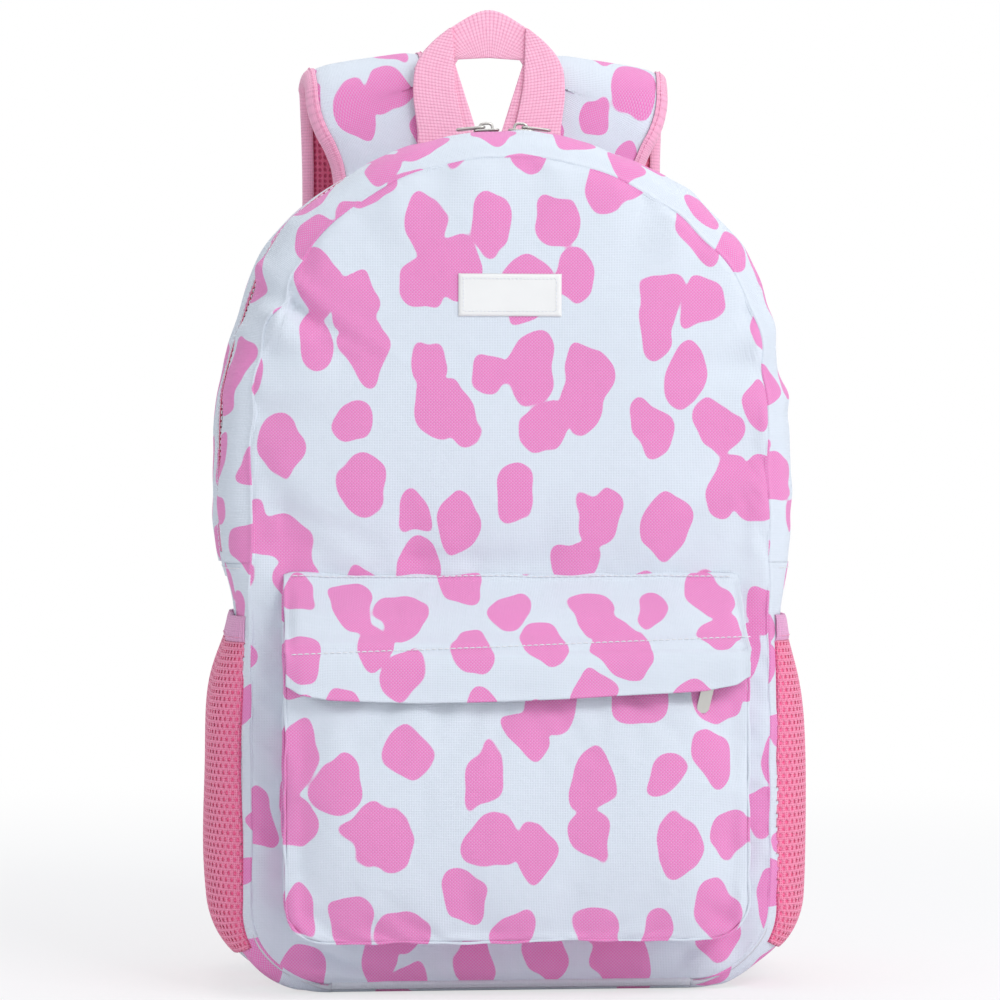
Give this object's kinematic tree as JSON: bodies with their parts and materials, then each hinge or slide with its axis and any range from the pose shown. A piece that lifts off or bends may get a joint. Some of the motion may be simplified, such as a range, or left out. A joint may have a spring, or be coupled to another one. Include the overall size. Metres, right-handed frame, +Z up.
{
  "type": "school backpack",
  "caption": "Arched school backpack with a folding zipped front, flapped front pocket, mesh side pockets, padded shoulder straps and a webbing grab handle.",
  "frame": {"origin": "middle of the base, on the surface that the bag stands on", "axes": "+Z up, +X to the right as seen from the front, the front faces -Y, straps at +Y"},
  "size_m": [0.3088, 0.2326, 0.5035],
  "materials": {
    "cow_canvas": "white polyester canvas with pink cow spots",
    "back_cloth": "plain pink canvas",
    "spacer_mesh": "pink spacer mesh with open holes",
    "elastic": "ribbed lilac-pink elastic",
    "zip_tape": "pink woven zip tape",
    "zip_coil": "pink nylon coil",
    "grosgrain": "light pink ribbed binding",
    "webbing": "pink ribbed webbing",
    "buckle_plastic": "pink moulded acetal",
    "nickel": "nickel-plated zinc",
    "label_rubber": "white soft rubber"
  },
  "bodies": {
    "bag": {"back_panel": "back_cloth", "back_pads": "spacer_mesh", "strap_yoke": "cow_canvas", "rear_zip_gusset": "cow_canvas", "rear_zip_tape": "zip_tape", "rear_zip_coil": "zip_coil", "side_panel_left": "cow_canvas", "side_panel_right": "cow_canvas", "bottom_panel": "cow_canvas", "front_panel_lower": "cow_canvas", "piping_lower": "cow_canvas", "pocket_gusset": "cow_canvas", "pocket_face": "cow_canvas", "pocket_top": "cow_canvas", "pocket_flap": "cow_canvas", "pocket_tape_upper": "zip_tape", "pocket_tape_lower": "zip_tape", "pocket_coil_upper": "zip_coil", "pocket_coil_lower": "zip_coil", "side_pocket_left": "spacer_mesh", "side_pocket_right": "spacer_mesh", "side_elastic_left": "elastic", "side_elastic_right": "elastic", "strap_pad_left": "cow_canvas", "strap_pad_right": "cow_canvas", "strap_mesh_left": "spacer_mesh", "strap_mesh_right": "spacer_mesh", "strap_binding_left": "grosgrain", "strap_binding_right": "grosgrain", "buckle_loop_left": "webbing", "buckle_loop_right": "webbing", "ladder_lock_left": "buckle_plastic", "ladder_lock_right": "buckle_plastic", "strap_webbing_left": "webbing", "strap_webbing_right": "webbing", "corner_tab_left": "cow_canvas", "corner_tab_right": "cow_canvas", "handle_tabs": "webbing"},
    "front_cover": {"front_panel_upper": "cow_canvas", "front_zip_gusset": "cow_canvas", "front_zip_tape": "zip_tape", "front_zip_coil": "zip_coil", "piping_upper": "cow_canvas", "label_patch": "label_rubber"},
    "slider_left": {"slider_left": "nickel"},
    "slider_right": {"slider_right": "nickel"},
    "pull_left": {"pull_left": "nickel"},
    "pull_right": {"pull_right": "nickel"},
    "pocket_slider": {"pocket_slider": "nickel"},
    "pocket_pull": {"pocket_pull": "nickel"},
    "handle": {"grab_handle": "webbing"}
  },
  "joints": [
    {"name": "cover_fold", "type": "hinge", "parent": "bag", "child": "front_cover", "pos_m": [0, -0.068, 0.212], "axis": [1, 0, 0], "range_deg": [0, 80]},
    {"name": "zip_left", "type": "hinge", "parent": "bag", "child": "slider_left", "pos_m": [0, -0.02, 0.273], "axis": [0, 1, 0], "range_deg": [-53, 0]},
    {"name": "zip_right", "type": "hinge", "parent": "bag", "child": "slider_right", "pos_m": [0, -0.02, 0.273], "axis": [0, 1, 0], "range_deg": [0, 53]},
    {"name": "pull_left_swing", "type": "hinge", "parent": "slider_left", "child": "pull_left", "pos_m": [-0.01004, -0.02, 0.43189], "axis": [0, 1, 0], "range_deg": [0, 95]},
    {"name": "pull_right_swing", "type": "hinge", "parent": "slider_right", "child": "pull_right", "pos_m": [0.01004, -0.02, 0.43189], "axis": [0, 1, 0], "range_deg": [-95, 0]},
    {"name": "pocket_zip", "type": "slide", "parent": "bag", "child": "pocket_slider", "axis": [-1, 0, 0], "range_m": [0, 0.184]},
    {"name": "pocket_pull_swing", "type": "hinge", "parent": "pocket_slider", "child": "pocket_pull", "pos_m": [0.0947, -0.1055, 0.163], "axis": [0, 1, 0], "range_deg": [-30, 30]},
    {"name": "handle_fold", "type": "hinge", "parent": "bag", "child": "handle", "pos_m": [0, 0.0667, 0.4315], "axis": [1, 0, 0], "range_deg": [0, 60]}
  ]
}
